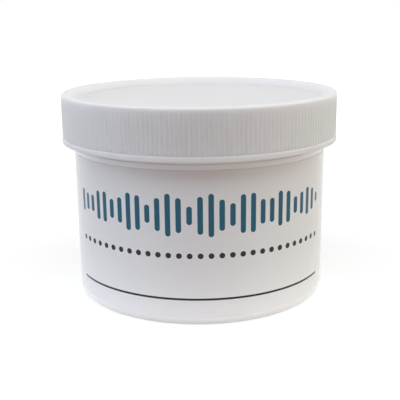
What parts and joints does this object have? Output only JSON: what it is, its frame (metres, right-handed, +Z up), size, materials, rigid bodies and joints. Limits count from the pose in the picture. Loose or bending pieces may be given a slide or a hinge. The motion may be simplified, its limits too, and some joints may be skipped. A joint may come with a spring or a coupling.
{
  "type": "hearing aid dryer",
  "caption": "Round screw-top jar for drying hearing aids, with ribbed cap, foam pads and a desiccant canister with an indicator window.",
  "frame": {"origin": "centre of the circle that the jar stands on", "axes": "+Z up along the jar's axis; the front of the label faces -Y"},
  "size_m": [0.0932, 0.0932, 0.0684],
  "materials": {
    "jar_plastic": "satin",
    "label_film": "satin",
    "cap_plastic": "satin",
    "liner_foam": "matte",
    "pad_foam": "matte",
    "canister_metal": "satin",
    "filter_felt": "matte",
    "clear_plastic": "gloss",
    "grommet_plastic": "satin",
    "silica_gel": "gloss",
    "indicator_gel": "gloss"
  },
  "bodies": {
    "jar": {"jar": "jar_plastic", "label": "label_film", "lower_foam_pad": "pad_foam"},
    "canister": {"canister_cup": "canister_metal", "canister_cover": "canister_metal", "cover_filter": "filter_felt", "window_lens": "clear_plastic", "window_grommet": "grommet_plastic", "desiccant_fill": "silica_gel", "indicator_beads": "indicator_gel"},
    "pad": {"upper_foam_pad": "pad_foam"},
    "liner": {"cap_liner": "liner_foam"},
    "cap": {"cap": "cap_plastic"}
  },
  "joints": [
    {"name": "cap_rise", "type": "slide", "parent": "jar", "child": "liner", "axis": [0, 0, 1], "range_m": [0, 0.06096]},
    {"name": "cap_turn", "type": "hinge", "parent": "liner", "child": "cap", "pos_m": [0, 0, 0.06], "axis": [0, 0, 1], "range_deg": [0, 4320]},
    {"name": "canister_lift", "type": "slide", "parent": "jar", "child": "canister", "axis": [0, 0, 1], "range_m": [0, 0.0135]},
    {"name": "pad_lift", "type": "slide", "parent": "canister", "child": "pad", "axis": [0, 0, 1], "range_m": [0, 0.0135]}
  ],
  "couplings": [
    {"joint": "cap_rise", "follows": "cap_turn", "m_per_rad": 0.00080851}
  ]
}
